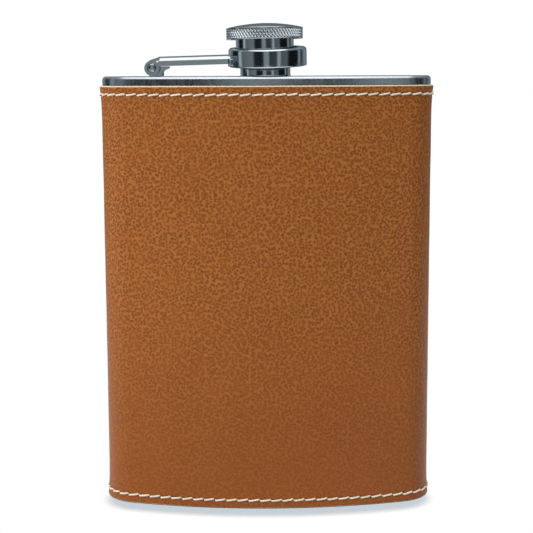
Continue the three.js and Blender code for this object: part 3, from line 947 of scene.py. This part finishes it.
def arm_strap():
    """The channel, its two rolled eyes round the pin, and the two tabs welded to the collar."""
    bm = bmesh.new()
    section = channel_section()
    tilt = Matrix.Rotation(-STRAP_RISE, 4, "Y")
    rows = []
    for x in (1.8, 1.86, 8, 14, 20, 22.45):
        rows.append([bm.verts.new(tilt @ Vector((x, y, z))) for y, z in section])
    add_grid(bm, rows, close_columns=True)
    bm.faces.new(rows[0])
    bm.faces.new(rows[-1])
    outer, inner, tangent, stop = 2.15, 1.4, 105, 375
    eye = [(2.4, 2.93)] + arc(outer, tangent, stop, 40)
    eye += arc(inner, stop, tangent, 34) + [(0.9, 1.85), (2.4, 2.13)]
    for low, high in ((-ARM_HALF_WIDTH, -1.2), (1.2, ARM_HALF_WIDTH)):
        add_part(bm, slab(eye, low, high, bevel=0.24, segments=4))
    half, foot, head, corner = 0.95, -1.25, 1.1, 0.5
    angle, reach, middle = math.radians(19), COLLAR_RADIUS + 0.25, 1.15
    corners = [(0, foot), (half, foot, 0.3), (half, head, corner)]
    corners += [(-half, head, corner), (-half, foot, 0.3), (0, foot)]
    tab = fillet(corners)[:-1]
    for side in (-1, 1):
        x, y = COLLAR.x - reach * math.cos(angle), COLLAR.y + side * reach * math.sin(angle)
        turn = Matrix.Rotation(math.pi / 2 - side * angle, 4, "Z")
        place = Matrix.Translation((x, y, middle)) @ turn
        add_part(bm, slab(tab, -0.3, 0.3, bevel=0.12, segments=2), place)
    dress(new_piece("pressed_arm", bm, "arm", ["arm_strap"], ARM), PRESSED)


def collar_ring():
    """A ring with a lip inside, over which the clip holds the cap."""
    outer, low, high, opening, lip, recess = COLLAR_RADIUS, -0.39, 4.96, 9.95, 9.35, 10.55
    lip_low, lip_high, edge = 3.96, 4.31, 0.1
    corners = [(recess, 2), (recess, low, 0.15), (outer, low, 0.4), (outer, high, 0.85)]
    corners += [(opening, high, 0.25), (opening, lip_high, edge), (lip, lip_high, edge)]
    corners += [(lip, lip_low, edge), (recess, lip_low, edge), (recess, 2.2)]
    bm = bmesh.new()
    turned(bm, fillet(corners, 5), 160)
    place = ARM @ Matrix.Translation(COLLAR * MM)
    dress(new_piece("polished_collar", bm, "arm", ["collar_ring"], place), POLISHED)


# ---- Stage -----------------------------------------------------------------------------------------

def floor():
    """A pale disc. It is evenly white to the eye but for a soft shadow round the flask's foot."""
    bm = bmesh.new()
    bmesh.ops.create_circle(bm, cap_ends=True, radius=0.42, segments=96)
    mesh = bpy.data.meshes.new("floor")
    bm.to_mesh(mesh)
    bm.free()
    n = Nodes.of_material("pale_floor")
    n.set(Base_Color=(0.34, 0.34, 0.35, 1), Roughness=0.9, Specular_IOR_Level=0.1)
    near = n.add("ShaderNodeAmbientOcclusion", {"Distance": 0.004}, samples=16).outputs["AO"]
    seen = n.add("ShaderNodeEmission", {"Color": n.ramp(near, (0.45, 0.72), (0.85, 1.0))})
    mirrored = n.add("ShaderNodeEmission", {"Color": (0.93, 0.95, 1.0, 1), "Strength": 1.1})
    path = n.add("ShaderNodeLightPath").outputs
    surface = n.shader
    for rays, other in (("Is Glossy Ray", mirrored), ("Is Camera Ray", seen)):
        inputs = {0: path[rays], 1: surface.outputs[0], 2: other.outputs[0]}
        surface = n.add("ShaderNodeMixShader", inputs)
    n.feed(n.tree.nodes["Material Output"].inputs["Surface"], surface.outputs[0])
    mesh.materials.append(n.material)
    new_object("floor", mesh)


CARDS = [  # degrees from straight out of the front, growing towards +X, and how bright
    (-180, 0.14), (-150, 0.34), (-128, 0.20), (-120, 0.01), (-98, 0.01), (-92, 0.55), (-86, 0.55),
    (-82, 0.16), (-46, 0.22), (-38, 0.02), (-14, 0.02), (-10, 0.30), (2, 0.34), (6, 0.05),
    (26, 0.07), (31, 0.42), (36, 0.42), (41, 0.12), (58, 0.14), (66, 0.01), (98, 0.01),
    (106, 0.34), (116, 0.05), (140, 0.30), (160, 0.16), (180, 0.14),
]
CEILING = (0.30, 0.34, 0.36)
OVERHEAD = (1.75, 1.75, 1.82)
OVERHEAD_TOWARDS = (0, -0.34, 0.94)


def cool(stops):
    """The stops of a ramp, with each grey tinted a little blue."""
    return [(position, (shade * 0.84, shade, shade * 1.08)) for position, shade in stops]


def studio_world():
    """A grey ceiling with a soft light in it over a ring of cards, which the steel reflects as bands."""
    world = bpy.data.worlds.new("studio")
    bpy.context.scene.world = world
    world.use_nodes = True
    n = Nodes(world.node_tree)
    direction = n.add("ShaderNodeTexCoord").outputs["Generated"]
    split = n.add("ShaderNodeSeparateXYZ", {0: direction}).outputs
    around = n.math("ARCTAN2", split["X"], n.times(split["Y"], -1))
    azimuth = n.math("ADD", n.math("DIVIDE", around, TURN), 0.5)
    ring = n.ramp(azimuth, *cool([(angle / 360 + 0.5, shade) for angle, shade in CARDS]), ease=True)
    inputs = {0: direction, 1: OVERHEAD_TOWARDS}
    towards = n.add("ShaderNodeVectorMath", inputs, operation="DOT_PRODUCT").outputs["Value"]
    high = n.ramp(split["Z"], *cool([(0.0, 0.0), (0.30, 0.0), (0.60, 1.0)]), ease=True)
    lit = n.ramp(towards, *cool([(0.0, 0.0), (0.74, 0.0), (0.84, 1.0)]), ease=True)
    room = n.mix(lit, n.mix(high, ring, CEILING), OVERHEAD)
    seen = n.add("ShaderNodeLightPath").outputs["Is Camera Ray"]
    n.feed(n.tree.nodes["Background"].inputs["Color"], n.mix(seen, room, (1, 1, 1)))


def soft_light(name, spot, aim, size, power):
    """A square lamp that lights the flask but isn't mirrored in the steel."""
    lamp = bpy.data.lights.new(name, "AREA")
    lamp.size = size
    lamp.energy = power
    made = new_object(name, lamp)
    made.location = spot
    made.rotation_euler = (Vector(aim) - Vector(spot)).to_track_quat("-Z", "Y").to_euler()
    made.visible_glossy = False
    made.visible_camera = False


def studio_lights():
    centre = (0, 0, (cad_low.z + cad_high.z) / 2)
    soft_light("key_left", (-0.68, -0.66, 0.50), centre, 0.5, 6.6)
    soft_light("fill_right", (0.8, -0.7, 0.35), centre, 0.6, 2.7)
    soft_light("side_left", (-0.85, -0.02, 0.12), centre, 0.35, 2.6)
    soft_light("back_right", (0.6, 0.8, 0.5), centre, 0.6, 3.5)


def camera():
    """At the height of the top plate, looking a little down, with the flask filling the frame."""
    lens, sensor = 90.6, 36.0
    distance, above_plate, aside = 389.5, 1.5, -0.217
    pitch, roll = 0.145, -0.004
    data = bpy.data.cameras.new("camera")
    data.lens, data.sensor_width = lens, sensor
    data.clip_start, data.clip_end = 0.01, 20
    made = new_object("camera", data)
    spot = Vector((aside, NECK_Y - distance, PLATE_TOP + above_plate)) * MM
    turn = Matrix.Rotation(math.pi / 2 - pitch, 4, "X") @ Matrix.Rotation(roll, 4, "Z")
    made.matrix_world = Matrix.Translation(spot) @ turn
    bpy.context.scene.camera = made


leather_wrap()
wrap_lining()
stitch_row("top_stitches", "top_stitching", TOP_ROW_HEIGHT, TOP_ROW_OFFSET)
stitch_row("bottom_stitches", "bottom_stitching", BOTTOM_ROW_HEIGHT, BOTTOM_ROW_OFFSET)
back_lacing()
end_cap("top_end", "top_plate", PLATE_TOP, 1, TOP_GROW, TOP_SKIRT, TOP_ROUND, hole_radius=6.05)
end_cap("bottom_end", "bottom_plate", 0.0, -1, BOTTOM_GROW, BOTTOM_SKIRT, BOTTOM_ROUND)
body_shell()
neck_spout()
threaded_sleeve()
seal_disc()
retaining_clip()
cap_head()
hinge_bracket()
hinge_pin()
arm_strap()
collar_ring()
floor()
studio_world()
studio_lights()
camera()
bpy.context.scene.view_settings.view_transform = "Standard"
